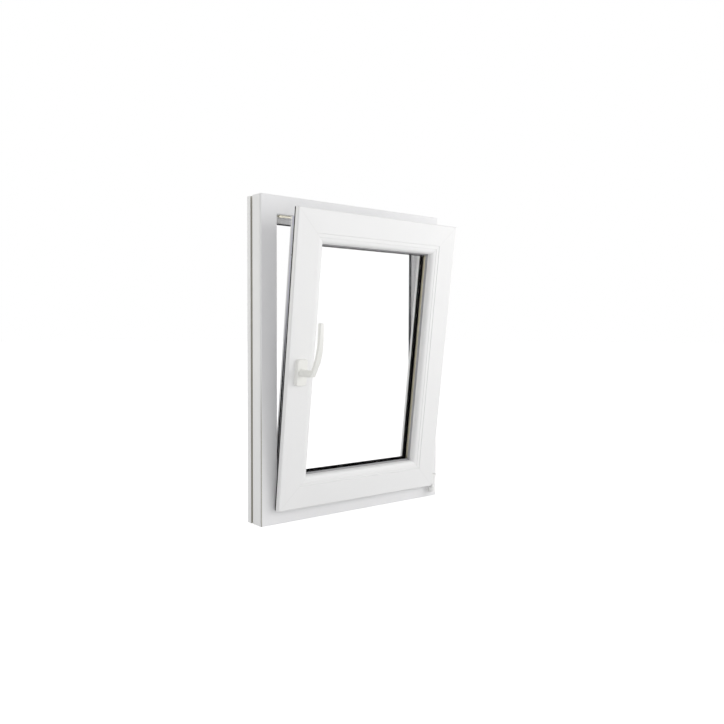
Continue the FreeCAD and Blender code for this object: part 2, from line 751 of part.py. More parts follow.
def build():
    """All nodes of the window by name, at rest with the sash tilted open."""
    fixed = frame_members()
    fixed.update(keeps())
    fixed["stop_seal"] = stop_seal()
    fixed["corner_bearing"] = corner_bearing()
    fixed["stay_bearing"] = stay_bearing()
    fixed["drain_caps"] = drain_caps()
    carried = sash_members()
    carried.update(glazing_beads())
    carried.update(glazing())
    carried.update(faceplates())
    carried["stay_rail"] = stay_stud(carried["stay_rail"])
    carried["overlap_seal"] = overlap_seal()
    carried["locking_cams"] = locking_cams()
    carried["hinge_strap"] = hinge_strap()
    carried["handle_rosette"] = handle_rosette()
    carried["corner_pivot"] = corner_pivot()
    carried["stay_arm"] = stay_arm()
    carried["handle_neck"] = handle_neck()
    carried["handle_grip"] = handle_grip()
    nodes = dict(fixed)
    nodes.update({name: tipped(shape) for name, shape in carried.items()})
    return nodes


os.makedirs("parts", exist_ok=True)
for node_name, node_shape in build().items():
    node_shape.exportStep(f"parts/{node_name}.step")
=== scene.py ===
import json
import logging
import math
from dataclasses import dataclass, field
from enum import Enum
from typing import Any, ClassVar, Iterable, Optional, Union

import bpy
from mathutils import Matrix, Vector


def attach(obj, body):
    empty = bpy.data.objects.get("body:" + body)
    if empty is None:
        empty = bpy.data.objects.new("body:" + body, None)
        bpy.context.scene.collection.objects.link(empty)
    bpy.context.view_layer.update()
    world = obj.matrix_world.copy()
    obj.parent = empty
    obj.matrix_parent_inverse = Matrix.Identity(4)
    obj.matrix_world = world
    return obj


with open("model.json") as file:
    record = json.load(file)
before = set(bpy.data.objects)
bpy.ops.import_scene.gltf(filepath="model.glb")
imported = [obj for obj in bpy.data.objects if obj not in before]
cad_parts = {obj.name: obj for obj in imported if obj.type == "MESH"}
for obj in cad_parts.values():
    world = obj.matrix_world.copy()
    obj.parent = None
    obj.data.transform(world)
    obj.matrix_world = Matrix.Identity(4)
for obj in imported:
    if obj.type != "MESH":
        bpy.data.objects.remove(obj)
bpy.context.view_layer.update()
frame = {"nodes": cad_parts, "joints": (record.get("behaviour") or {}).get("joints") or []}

LOG = logging.getLogger("window")
MM = 0.001

# The noise node's values lie between these two, apart from rare peaks
NOISE_LOW = 0.3
NOISE_HIGH = 0.7
BUMP_STRENGTH = 0.5
WHITE = (1.0, 1.0, 1.0, 1.0)
TO_ROOM = Vector((0, -1, 0))

# The Math node's type, and the numbers of the Mix node's sockets for colours
MATH = "ShaderNodeMath"
MIX_SHARE = 0
MIX_UNDER = 6
MIX_OVER = 7
MIX_RESULT = 2

Colour = tuple[float, float, float, float]
Tree = bpy.types.NodeTree
Node = bpy.types.Node
Socket = bpy.types.NodeSocket
Source = Union[Node, Socket]


class Side(Enum):
    """The sides of an upright rectangle, each with its outward direction and its running direction."""

    TOP = ((0, 0, 1), (1, 0, 0))
    BOTTOM = ((0, 0, -1), (1, 0, 0))
    LEFT = ((-1, 0, 0), (0, 0, 1))
    RIGHT = ((1, 0, 0), (0, 0, 1))

    @property
    def outward(self) -> Vector:
        """Direction out of the rectangle."""
        return Vector(self.value[0])

    @property
    def along(self) -> Vector:
        """Direction in which the side runs."""
        return Vector(self.value[1])


class Layer(Enum):
    """The two sizes of unevenness that a surface has."""

    PATCH = "patch"
    GRAIN = "grain"


def linear(hex_colour: str, factor: float = 1.0) -> Colour:
    """Turn an sRGB hex colour into linear RGBA.

    Args:
        hex_colour: Six hex digits with a leading hash.
        factor: What the linear red, green and blue are multiplied by.

    Returns:
        Red, green and blue as linear values, and an alpha of one.
    """
    digits = hex_colour.lstrip("#")
    channels = [int(digits[start:start + 2], 16) / 255 for start in (0, 2, 4)]
    curve = [c / 12.92 if c <= 0.04045 else ((c + 0.055) / 1.055) ** 2.4 for c in channels]
    return (curve[0] * factor, curve[1] * factor, curve[2] * factor, 1.0)


def add_node(
    tree: Tree,
    kind: str,
    settings: Optional[dict[str, Any]] = None,
    inputs: Optional[dict[Any, Any]] = None,
) -> Node:
    """Add one node with its settings, input values and links.

    Args:
        tree: The node tree that gets the node.
        kind: Blender's type name of the node.
        settings: Properties of the node by name.
        inputs: Values, sockets, nodes that give their first output, or lists of these, by the input's
            name or number.

    Returns:
        The new node.
    """
    node = tree.nodes.new(kind)
    for name, value in (settings or {}).items():
        setattr(node, name, value)
    for name, value in (inputs or {}).items():
        for item in value if isinstance(value, list) else [value]:
            source = item.outputs[0] if isinstance(item, Node) else item
            if isinstance(source, Socket):
                tree.links.new(source, node.inputs[name])
            else:
                node.inputs[name].default_value = source
    return node


def row(count: int, pitch: float) -> list[float]:
    """Give a number of evenly spaced places about zero."""
    return [(index - (count - 1) / 2) * pitch for index in range(count)]


@dataclass(frozen=True)
class Tilt:
    """The move from the shut sash, in which its sizes are given, to the tilted one at rest.

    Attributes:
        pivot: A point on the tilt axis, in metres.
        angle: How far the sash is tilted at rest, in radians.
    """

    pivot: Vector
    angle: float

    @classmethod
    def from_joints(cls, joints: list[dict[str, Any]]) -> "Tilt":
        """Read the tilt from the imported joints.

        Args:
            joints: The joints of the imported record.

        Returns:
            The tilt at rest.
        """
        tilt = next(joint for joint in joints if joint["name"] == "sash_tilt")
        return cls(Vector(tilt["pos_m"]), -math.radians(tilt["range_deg"][0]))

    def matrix(self) -> Matrix:
        """Give the move as a matrix."""
        turn = Matrix.Rotation(self.angle, 4, "X")
        return Matrix.Translation(self.pivot) @ turn @ Matrix.Translation(-self.pivot)


@dataclass(frozen=True)
class Spot:
    """Where a copy of a small shape goes.

    Attributes:
        place: The point, in metres.
        up: The direction that the copy's z axis takes.
        along: The direction that its x axis takes as far as it can.
    """

    place: Vector
    up: Vector
    along: Vector


@dataclass(frozen=True)
class Rectangle:
    """An upright rectangle of members, in metres and in the shut position.

    Attributes:
        half_width: Half its width.
        half_height: Half its height.
        middle: Height of its middle above the sill's underside.
        tilt: The move that its members stand in, or None for the fixed frame.
    """

    half_width: float
    half_height: float
    middle: float
    tilt: Optional[Tilt] = None

    def spot(self, side: Side, run: float, inset: float, depth: float, up: Vector) -> Spot:
        """Find a place at rest by its place on one side of the shut rectangle.

        Args:
            side: The side.
            run: Distance along the side, from its middle.
            inset: Distance from the rectangle's edge towards its middle.
            depth: Place across the depth, as y.
            up: The direction that the copy's z axis takes, shut.

        Returns:
            The spot, at rest.
        """
        reach = Vector((self.half_width - inset, 0, self.half_height - inset))
        place = Vector((0, depth, self.middle)) + side.along * run
        place += side.outward * abs(side.outward.dot(reach))
        move = self.tilt.matrix() if self.tilt else Matrix.Identity(4)
        turn = move.to_3x3()
        return Spot(move @ place, turn @ up, turn @ side.along)

    def centre(self, depth: float) -> Spot:
        """Find the middle of the rectangle at a depth, facing the room."""
        return self.spot(Side.TOP, 0.0, self.half_height, depth, TO_ROOM)

    def half_length(self, side: Side) -> float:
        """Give half the length of a side."""
        return self.half_height if side in (Side.LEFT, Side.RIGHT) else self.half_width


@dataclass(frozen=True)
class Coat:
    """A colour that lies over another.

    Attributes:
        share: How much of it there is.
        colour: Its linear colour.
        sunk: Whether it lies lower than the surface round it.
    """

    share: Source
    colour: Colour
    sunk: bool = False


@dataclass(frozen=True)
class Finish:
    """A surface finish that makes its material once and hands it out.

    Attributes:
        name: The material's name.
        colour: The main colour as an sRGB hex value.
        roughness: The middle of the shader's roughness, or its high end on glass.
        shade: What the linear colour is multiplied by in full patches.
        drift: How far the roughness falls below its middle.
        rise: How far the roughness rises above its middle.
        gloss_by: The unevenness that the roughness follows.
        patch: Size of the patches in which the surface drifts, in metres.
        patch_detail: How many finer layers the patches have.
        grain: Size of the fine unevenness, in metres.
        grain_detail: How many finer layers the fine unevenness has.
        depth: Height of the fine unevenness, in metres.
        ior: Refractive index.
        metallic: How far the surface is a metal's, zero to one.
    """

    name: str
    colour: str
    roughness: float
    shade: float = 1.0
    drift: float = 0.06
    rise: float = 0.06
    gloss_by: Layer = Layer.PATCH
    patch: float = 60.0 * MM
    patch_detail: float = 2.0
    grain: float = 2.5 * MM
    grain_detail: float = 3.0
    depth: float = 0.03 * MM
    ior: float = 1.46
    metallic: float = 0.0

    def material(self) -> bpy.types.Material:
        """Give the finish's material, made at the first call."""
        made = bpy.data.materials.get(self.name)
        if made is None:
            made = bpy.data.materials.new(self.name)
            made.use_nodes = True
            tree = made.node_tree
            tree.nodes.clear()
            add_node(tree, "ShaderNodeOutputMaterial", inputs={"Surface": self.dress(tree)})
        return made

    def dress(self, tree: Tree) -> Node:
        """Add the nodes of the surface.

        Args:
            tree: The material's node tree.

        Returns:
            The shader.
        """
        place = add_node(tree, "ShaderNodeTexCoord").outputs["Object"]
        cloud = add_node(tree, "ShaderNodeTexNoise", inputs={
            "Vector": place, "Scale": 1 / self.patch, "Detail": self.patch_detail})
        skin = add_node(tree, "ShaderNodeTexNoise", inputs={
            "Vector": place, "Scale": 1 / self.grain, "Detail": self.grain_detail})
        gloss = add_node(tree, "ShaderNodeMapRange", inputs={
            "Value": cloud if self.gloss_by is Layer.PATCH else skin,
            "From Min": NOISE_LOW, "From Max": NOISE_HIGH,
            "To Min": self.roughness - self.drift, "To Max": self.roughness + self.rise})
        colour: Union[Colour, Socket] = linear(self.colour)
        height = skin
        for coat in self.coats(tree, place, cloud):
            mixed = add_node(tree, "ShaderNodeMix", {"data_type": "RGBA"}, {
                MIX_SHARE: coat.share, MIX_UNDER: colour, MIX_OVER: coat.colour})
            colour = mixed.outputs[MIX_RESULT]
            if coat.sunk:
                height = add_node(tree, MATH, {"operation": "SUBTRACT"}, {0: height, 1: coat.share})
        relief = add_node(tree, "ShaderNodeBump", inputs={
            "Strength": BUMP_STRENGTH, "Distance": self.depth, "Height": height})
        return add_node(tree, "ShaderNodeBsdfPrincipled", inputs={
            "Base Color": colour, "Roughness": gloss, "Normal": relief,
            "IOR": self.ior, "Metallic": self.metallic})

    def coats(self, tree: Tree, place: Socket, cloud: Node) -> list[Coat]:
        """List what lies over the main colour: here its shade, by the noise of the patches."""
        return [Coat(cloud, linear(self.colour, self.shade))]


@dataclass(frozen=True, kw_only=True)
class ExtrudedPvc(Finish):
    """Unplasticised PVC, extruded and welded at the corners.

    It gives a smooth satin white with a soft sheen, a barely uneven skin, and at every mitre the hairline
    of a cleaned weld.

    Attributes:
        corners: The rectangle whose mitres are welded.
        seam_width: Half the width of the hairline, in metres.
        seam_shade: How much of the white is left on the hairline.
        groove: Where a groove lies in the outer edge, as y in metres, or None. Its inside gets painted
            shade.
        groove_mouth: How far from the outer edge the painted shade starts, in metres.
        groove_floor: How far the groove reaches in from the outer edge, in metres.
        groove_slack: How far the painted shade reaches past the groove's walls, in metres.
        groove_shade_colour: Colour of the painted shade inside the groove as an sRGB hex value.
        front: Where the front face lies, as y in metres, if its upright edges get painted shade, or None.
        arris_shade_width: How far the painted shade reaches from the edge, in metres.
        arris_shade_colour: Colour of the painted shade as an sRGB hex value.
        arris_shade_full: Height up to which the painted shade is dense, in metres.
        arris_shade_end: Height at which the painted shade ends, in metres.
    """

    corners: Rectangle
    seam_width: float
    seam_shade: float
    groove: Optional[tuple[float, float]] = None
    groove_mouth: float = 0.5 * MM
    groove_floor: float = 21.0 * MM
    groove_slack: float = 0.1 * MM
    # Painted shade for the inside of the groove
    groove_shade_colour: str = "#C4C2B9"
    front: Optional[float] = None
    arris_shade_width: float = 1.2 * MM
    # Painted shade along the lower front edges
    arris_shade_colour: str = "#8F8B7C"
    arris_shade_full: float = 180.0 * MM
    arris_shade_end: float = 400.0 * MM

    def coats(self, tree: Tree, place: Socket, cloud: Node) -> list[Coat]:
        """Lay the welds, painted shade inside the groove and painted shade on the lower front edges over the
        white.

        Args:
            tree: The material's node tree.
            place: The point on the surface, at rest.
            cloud: The noise of the patches; it is not used, as the patches don't show in this white.

        Returns:
            The coats, from the lowest up.
        """
        shut: Source = place
        if self.corners.tilt is not None:
            back = self.corners.tilt.matrix().inverted()
            shut = add_node(tree, "ShaderNodeMapping", inputs={
                "Vector": place, "Location": back.to_translation(), "Rotation": back.to_euler()})
        axes = add_node(tree, "ShaderNodeSeparateXYZ", inputs={"Vector": shut}).outputs
        across = add_node(tree, MATH, {"operation": "ABSOLUTE"}, {0: axes["X"]})
        offset = add_node(tree, MATH, {"operation": "SUBTRACT"}, {0: axes["Z"], 1: self.corners.middle})
        rise = add_node(tree, MATH, {"operation": "ABSOLUTE"}, {0: offset})
        coats = [Coat(self.seam(tree, across, rise), linear(self.colour, self.seam_shade), sunk=True)]
        # Painted shade darkens the inside of the groove in the outer edge
        if self.groove is not None:
            coats.append(Coat(self.groove_shade(tree, across, rise, axes["Y"]), linear(self.groove_shade_colour)))
        # Painted shade darkens the front's outer upright edges towards their feet
        if self.front is not None:
            coats.append(Coat(self.arris_shade(tree, across, axes["Y"], axes["Z"]), linear(self.arris_shade_colour)))
        return coats

    def seam(self, tree: Tree, across: Node, rise: Node) -> Node:
        """Draw the weld lines of the four mitres, which have the same distance to both edges.

        Args:
            tree: The material's node tree.
            across: Distance to either side of the rectangle's middle.
            rise: Distance upwards or downwards from its middle.

        Returns:
            A value of one on the seams and zero elsewhere.
        """
        excess = self.corners.half_width - self.corners.half_height
        offset = add_node(tree, MATH, {"operation": "SUBTRACT"}, {0: across, 1: rise})
        offset = add_node(tree, MATH, {"operation": "SUBTRACT"}, {0: offset, 1: excess})
        distance = add_node(tree, MATH, {"operation": "ABSOLUTE"}, {0: offset})
        return add_node(tree, "ShaderNodeMapRange", {"interpolation_type": "SMOOTHSTEP"}, {
            "Value": distance, "From Min": 0.0, "From Max": self.seam_width, "To Min": 1.0, "To Max": 0.0})

    def groove_shade(self, tree: Tree, across: Node, rise: Node, depth: Socket) -> Node:
        """Mark the inside of the groove, which gets painted shade.

        Args:
            tree: The material's node tree.
            across: Distance to either side of the rectangle's middle.
            rise: Distance upwards or downwards from its middle.
            depth: Place across the depth, as y.

        Returns:
            A value of one inside the groove and zero elsewhere.
        """
        side = add_node(tree, MATH, {"operation": "SUBTRACT"}, {0: self.corners.half_width, 1: across})
        end = add_node(tree, MATH, {"operation": "SUBTRACT"}, {0: self.corners.half_height, 1: rise})
        inset = add_node(tree, MATH, {"operation": "MINIMUM"}, {0: side, 1: end})
        spans = (
            (inset, self.groove_mouth, self.groove_floor),
            (depth, self.groove[0] - self.groove_slack, self.groove[1] + self.groove_slack),
        )
        inside = []
        for value, low, high in spans:
            inside.append(add_node(tree, MATH, {"operation": "COMPARE"}, {
                0: value, 1: (low + high) / 2, 2: (high - low) / 2}))
        return add_node(tree, MATH, {"operation": "MULTIPLY"}, {0: inside[0], 1: inside[1]})

    def arris_shade(self, tree: Tree, across: Node, depth: Socket, height: Socket) -> Node:
        """Mark the outer upright edges of the front, towards their lower ends, for painted shade.

        Args:
            tree: The material's node tree.
            across: Distance to either side of the rectangle's middle.
            depth: Place across the depth, as y.
            height: Height above the sill's underside.

        Returns:
            A value that rises to one at the foot of the edges and is zero elsewhere.
        """
        edge = add_node(tree, MATH, {"operation": "GREATER_THAN"}, {
            0: across, 1: self.corners.half_width - self.arris_shade_width})
        near = add_node(tree, MATH, {"operation": "LESS_THAN"}, {0: depth, 1: self.front + self.arris_shade_width})
        low = add_node(tree, "ShaderNodeMapRange", {"interpolation_type": "SMOOTHSTEP"}, {
            "Value": height, "From Min": self.arris_shade_full, "From Max": self.arris_shade_end,
            "To Min": 1.0, "To Max": 0.0})
        corner = add_node(tree, MATH, {"operation": "MULTIPLY"}, {0: edge, 1: near})
        return add_node(tree, MATH, {"operation": "MULTIPLY"}, {0: corner, 1: low})


@dataclass(frozen=True)
class Rubber(Finish):
    """Extruded sealing rubber, which reads as a dense matt line with a fine skin and a trace of dust."""

    shade: float = 1.4
    drift: float = 0.08
    rise: float = 0.08
    patch: float = 8.0 * MM
    patch_detail: float = 4.0
    # The real skin is finer, and is drawn as coarse as it needs to show
    grain: float = 0.8 * MM
    grain_detail: float = 2.0
    depth: float = 0.05 * MM
    ior: float = 1.25


@dataclass(frozen=True)
class RubberWithPaintedLight(Rubber):
    """Sealing rubber, dark low down where the frame shades it, with painted light laid over it higher up.

    Attributes:
        painted_light: Colour of the painted light over the upper part as an sRGB hex value.
        dark_up_to: Height up to which the rubber gets no painted light, in metres.
        light_from: Height from which the painted light is full, in metres.
    """

    # Painted light: a pale colour laid over the black rubber's upper part
    painted_light: str = "#EAEAF4"
    dark_up_to: float = 300.0 * MM
    light_from: float = 600.0 * MM

    def coats(self, tree: Tree, place: Socket, cloud: Node) -> list[Coat]:
        """Lay painted light over the rubber, more with the height.

        Args:
            tree: The material's node tree.
            place: The point on the surface, at rest.
            cloud: The noise of the patches.

        Returns:
            The coats, from the lowest up.
        """
        height = add_node(tree, "ShaderNodeSeparateXYZ", inputs={"Vector": place}).outputs["Z"]
        share = add_node(tree, "ShaderNodeMapRange", {"interpolation_type": "SMOOTHSTEP"}, {
            "Value": height, "From Min": self.dark_up_to, "From Max": self.light_from})
        return super().coats(tree, place, cloud) + [Coat(share, linear(self.painted_light))]


@dataclass(frozen=True)
class FloatGlass(Finish):
    """Clear coated glass, which shows what is behind it almost unchanged."""

    patch: float = 90.0 * MM
    patch_detail: float = 3.0
    ior: float = 1.1

    def dress(self, tree: Tree) -> Node:
        """Make it clear, with the slightest uneven polish.

        Args:
            tree: The material's node tree.

        Returns:
            The shader.
        """
        place = add_node(tree, "ShaderNodeTexCoord").outputs["Object"]
        cloud = add_node(tree, "ShaderNodeTexNoise", inputs={
            "Vector": place, "Scale": 1 / self.patch, "Detail": self.patch_detail})
        haze = add_node(tree, "ShaderNodeMapRange", inputs={
            "Value": cloud, "From Min": NOISE_LOW, "From Max": NOISE_HIGH,
            "To Min": 0.0, "To Max": self.roughness})
        return add_node(tree, "ShaderNodeBsdfPrincipled", inputs={
            "Base Color": linear(self.colour), "Roughness": haze,
            "IOR": self.ior, "Transmission Weight": 1.0})


@dataclass(frozen=True)
class PlainMetal(Finish):
    """Rolled or plated metal, whose soft cloudy shine sets hardware off from the plastic.

    Its refractive index is the shader's default.
    """

    shade: float = 0.85
    rise: float = 0.1
    gloss_by: Layer = Layer.GRAIN
    patch: float = 14.0 * MM
    # The real grain is finer, and is drawn as coarse as it needs to show
    grain: float = 0.6 * MM
    depth: float = 0.02 * MM
    ior: float = 1.5
    metallic: float = 1.0


@dataclass(frozen=True)
class PowderCoat(Finish):
    """Powder coated casting, an even white with a trace of handling.

    Its fine orange-peel skin softens the highlights.
    """

    shade: float = 0.97
    drift: float = 0.05
    rise: float = 0.05
    patch: float = 25.0 * MM
    patch_detail: float = 3.0
    grain: float = 1.2 * MM
    grain_detail: float = 1.0


def paint(nodes: Iterable[str], finish: Finish) -> None:
    """Put a finish on CAD nodes.

    Args:
        nodes: Names of the nodes.
        finish: The finish that they get.
    """
    for name in nodes:
        node = frame["nodes"][name]
        if not node.material_slots:
            node.data.materials.append(None)
        for slot in node.material_slots:
            slot.material = finish.material()
        LOG.info("%s: %s", name, finish.name)


@dataclass
class Pattern:
    """A small shape that geometry nodes repeat at given spots.

    Attributes:
        name: Name of the node tree.
        sizes: The tree's named inputs and their values, in metres.
    """

    name: str
    sizes: dict[str, float]

    def shape(self, tree: Tree, size: dict[str, Socket]) -> Socket:
        """Add the nodes of one copy, which stands on the x and y axes and rises along z.

        Args:
            tree: The node tree.
            size: The tree's inputs by name.

        Returns:
            The geometry of one copy.
        """
        raise NotImplementedError

    def tree(self, finish: Finish) -> Tree:
        """Build the tree that puts a copy on each point and turns it to the point's axes.

        Args:
            finish: The finish of the copies.

        Returns:
            The node tree.
        """
        tree = bpy.data.node_groups.new(self.name, "GeometryNodeTree")
        tree.interface.new_socket("Geometry", in_out="INPUT", socket_type="NodeSocketGeometry")
        for name, value in self.sizes.items():
            socket = tree.interface.new_socket(name, in_out="INPUT", socket_type="NodeSocketFloat")
            socket.default_value = value
        tree.interface.new_socket("Geometry", in_out="OUTPUT", socket_type="NodeSocketGeometry")
        start = add_node(tree, "NodeGroupInput")
        copy = self.shape(tree, {name: start.outputs[name] for name in self.sizes})
        axes = {}
        for name in ("up", "along"):
            stored = add_node(tree, "GeometryNodeInputNamedAttribute", {"data_type": "FLOAT_VECTOR"}, {
                "Name": name})
            axes[name] = stored.outputs["Attribute"]
        first = add_node(tree, "FunctionNodeAlignRotationToVector", {"axis": "Z"}, {"Vector": axes["up"]})
        turned = add_node(tree, "FunctionNodeAlignRotationToVector", {"axis": "X", "pivot_axis": "Z"}, {
            "Rotation": first.outputs["Rotation"], "Vector": axes["along"]})
        copies = add_node(tree, "GeometryNodeInstanceOnPoints", inputs={
            "Points": start.outputs["Geometry"], "Instance": copy, "Rotation": turned.outputs["Rotation"]})
        real = add_node(tree, "GeometryNodeRealizeInstances", inputs={
            "Geometry": copies.outputs["Instances"]})
        painted = add_node(tree, "GeometryNodeSetMaterial", inputs={
            "Geometry": real.outputs["Geometry"], "Material": finish.material()})
        add_node(tree, "NodeGroupOutput", inputs={"Geometry": painted.outputs["Geometry"]})
        return tree

    def build(self, piece: str, spots: list[Spot], finish: Finish) -> bpy.types.Object:
        """Make one plain mesh of all copies.

        Args:
            piece: Name of the new object.
            spots: Where the copies go.
            finish: The finish of the copies.

        Returns:
            The new object.
        """
        points = bpy.data.meshes.new(f"{piece}_points")
        points.from_pydata([spot.place for spot in spots], [], [])
        for name in ("up", "along"):
            stored = points.attributes.new(name, "FLOAT_VECTOR", "POINT")
            for item, spot in zip(stored.data, spots):
                item.vector = getattr(spot, name)
        seed = bpy.data.objects.new(f"{piece}_points", points)
        bpy.context.scene.collection.objects.link(seed)
        modifier = seed.modifiers.new("copies", "NODES")
        modifier.node_group = self.tree(finish)
        for item in modifier.node_group.interface.items_tree:
            if item.in_out == "INPUT" and item.name in self.sizes:
                modifier[item.identifier] = self.sizes[item.name]
        graph = bpy.context.evaluated_depsgraph_get()
        mesh = bpy.data.meshes.new_from_object(seed.evaluated_get(graph), depsgraph=graph)
        seed.modifiers.clear()
        bpy.data.objects.remove(seed)
        made = bpy.data.objects.new(piece, mesh)
        bpy.context.scene.collection.objects.link(made)
        LOG.info("%s: %d copies, %d faces", piece, len(spots), len(mesh.polygons))
        return made


class ScrewHead(Pattern):
    """Low screw head with a cross recess.

    Attributes:
        sides: Number of the disc's sides.
        deeper: Height of the second recess bar as a share of the head's height. It is cut deeper than the
            first, so that the floors of the two don't lie in one plane.
    """

    sides: ClassVar[int] = 16
    deeper: ClassVar[float] = 1.2

    def shape(self, tree: Tree, size: dict[str, Socket]) -> Socket:
        """Cut a cross out of a low disc.

        Args:
            tree: The node tree.
            size: The tree's inputs by name.

        Returns:
            The geometry of one head.
        """
        height = size["Head Height"]
        length = size["Recess Length"]
        width = size["Recess Width"]
        disc = add_node(tree, "GeometryNodeMeshCylinder", inputs={
            "Vertices": self.sides, "Radius": size["Head Radius"], "Depth": height})
        top = add_node(tree, MATH, {"operation": "MULTIPLY"}, {0: height, 1: 0.5})
        lift = add_node(tree, "ShaderNodeCombineXYZ", inputs={"Z": top})
        bars = []
        for across, along, share in ((length, width, 1.0), (width, length, self.deeper)):
            tall = add_node(tree, MATH, {"operation": "MULTIPLY"}, {0: height, 1: share})
            block = add_node(tree, "ShaderNodeCombineXYZ", inputs={"X": across, "Y": along, "Z": tall})
            bar = add_node(tree, "GeometryNodeMeshCube", inputs={"Size": block.outputs["Vector"]})
            raised = add_node(tree, "GeometryNodeTransform", inputs={
                "Geometry": bar.outputs["Mesh"], "Translation": lift.outputs["Vector"]})
            bars.append(raised.outputs["Geometry"])
        cut = add_node(tree, "GeometryNodeMeshBoolean", {"operation": "DIFFERENCE"}, {
            "Mesh 1": disc.outputs["Mesh"], "Mesh 2": bars})
        return cut.outputs["Mesh"]


class LongSlot(Pattern):
    """Dark inlay with round ends, painted shade that stands for a punched slot or hole.

    Attributes:
        end_share: Radius of the ends as a share of the width, just short of a half.
        end_steps: Number of points that round a corner.
        weld: Distance under which points are merged, in metres.
    """

    end_share: ClassVar[float] = 0.49
    end_steps: ClassVar[int] = 2
    weld: ClassVar[float] = 0.001 * MM

    def shape(self, tree: Tree, size: dict[str, Socket]) -> Socket:
        """Fill a rounded outline and give it a little height.

        Args:
            tree: The node tree.
            size: The tree's inputs by name.

        Returns:
            The geometry of one slot.
        """
        outline = add_node(tree, "GeometryNodeCurvePrimitiveQuadrilateral", inputs={
            "Width": size["Slot Length"], "Height": size["Slot Width"]})
        corner = add_node(tree, MATH, {"operation": "MULTIPLY"}, {0: size["Slot Width"], 1: self.end_share})
        ends = add_node(tree, "GeometryNodeFilletCurve", {"mode": "POLY"}, {
            "Curve": outline.outputs["Curve"], "Radius": corner, "Count": self.end_steps})
        flat = add_node(tree, "GeometryNodeFillCurve", {"mode": "NGONS"}, {"Curve": ends.outputs["Curve"]})
        raised = add_node(tree, "GeometryNodeExtrudeMesh", inputs={
            "Mesh": flat.outputs["Mesh"], "Offset Scale": size["Slot Height"]})
        sole = add_node(tree, "GeometryNodeFlipFaces", inputs={"Mesh": flat.outputs["Mesh"]})
        both = add_node(tree, "GeometryNodeJoinGeometry", inputs={
            "Geometry": [raised.outputs["Mesh"], sole.outputs["Mesh"]]})
        closed = add_node(tree, "GeometryNodeMergeByDistance", inputs={
            "Geometry": both.outputs["Geometry"], "Distance": self.weld})
        return closed.outputs["Geometry"]


class RingBead(Pattern):
    """Long bead that runs round a rectangle."""

    def shape(self, tree: Tree, size: dict[str, Socket]) -> Socket:
        """Sweep a flat section along the rectangle.

        Args:
            tree: The node tree.
            size: The tree's inputs by name.

        Returns:
            The geometry of one bead.
        """
        path = add_node(tree, "GeometryNodeCurvePrimitiveQuadrilateral", inputs={
            "Width": size["Ring Width"], "Height": size["Ring Height"]})
        section = add_node(tree, "GeometryNodeCurvePrimitiveQuadrilateral", inputs={
            "Width": size["Bead Thickness"], "Height": size["Bead Width"]})
        swept = add_node(tree, "GeometryNodeCurveToMesh", inputs={
            "Curve": path.outputs["Curve"], "Profile Curve": section.outputs["Curve"]})
        return swept.outputs["Mesh"]


class RibRing(Pattern):
    """Raised ring round a turned neck.

    Attributes:
        ring_steps: Number of points round the neck.
        bead_steps: Number of points round the bead.
    """

    ring_steps: ClassVar[int] = 40
    bead_steps: ClassVar[int] = 10

    def shape(self, tree: Tree, size: dict[str, Socket]) -> Socket:
        """Sweep a small round section along a circle.

        Args:
            tree: The node tree.
            size: The tree's inputs by name.

        Returns:
            The geometry of one ring.
        """
        path = add_node(tree, "GeometryNodeCurvePrimitiveCircle", inputs={
            "Resolution": self.ring_steps, "Radius": size["Ring Radius"]})
        section = add_node(tree, "GeometryNodeCurvePrimitiveCircle", inputs={
            "Resolution": self.bead_steps, "Radius": size["Bead Radius"]})
        swept = add_node(tree, "GeometryNodeCurveToMesh", inputs={
            "Curve": path.outputs["Curve"], "Profile Curve": section.outputs["Curve"]})
        smooth = add_node(tree, "GeometryNodeSetShadeSmooth", inputs={"Geometry": swept.outputs["Mesh"]})
        return smooth.outputs["Geometry"]


class Palette:
    """All finishes of the window."""

    def __init__(self, outer: Rectangle, inner: Rectangle) -> None:
        """Choose every finish.

        Args:
            outer: The outer frame's rectangle.
            inner: The sash's rectangle.
        """
        self.frame_pvc = ExtrudedPvc(
            "extruded_pvc_frame_white", "#F0F0F1", 0.42, corners=outer, seam_width=0.5 * MM,
            seam_shade=0.96, groove=(7 * MM, 16 * MM), front=-30 * MM)
        self.sash_pvc = ExtrudedPvc(
            "extruded_pvc_sash_white", "#F1F1F1", 0.40, corners=inner, seam_width=0.8 * MM, seam_shade=0.88)
        self.seal = Rubber("epdm_rubber_black", "#060609", 0.85)
        # The seal bead on the sash's edge gets painted light towards its top
        self.edge_seal = RubberWithPaintedLight("epdm_rubber_painted_light", "#060609", 0.85)
        self.stop_seal = Rubber("epdm_rubber_dark_grey", "#3C3C40", 0.75)
        self.gasket = Rubber("gasket_rubber_grey", "#98989A", 0.55)
        # Painted shade, laid on as dark inlays where holes, slots and sockets stand
        self.hole = Rubber("painted_hole_shade", "#1A1A1C", 0.8)
        self.glass = FloatGlass("coated_float_glass_clear", "#FFFFFF", 0.01)
        self.spacer = PlainMetal("champagne_aluminium_spacer", "#C9C3AE", 0.45)
        self.steel = PlainMetal("zinc_plated_steel", "#CFD0D2", 0.38)
        self.keep = PlainMetal("chromated_zinc_keep", "#DEDACB", 0.42)
        self.handle = PowderCoat("powder_coat_handle_white", "#F4F4F0", 0.4)
        self.hinge = PowderCoat("powder_coat_hinge_white", "#FAFAF9", 0.42)


@dataclass
class Assembly:
    """A sub-assembly of the window.

    Attributes:
        palette: All finishes of the window.
        rectangle: The outer edges that its sizes are measured from, shut.
    """

    palette: Palette
    rectangle: Rectangle

    def dress(self) -> None:
        """Put the finishes on the CAD nodes."""
        raise NotImplementedError

    def build(self) -> None:
        """Add the pieces that the CAD nodes lack, where there are any."""


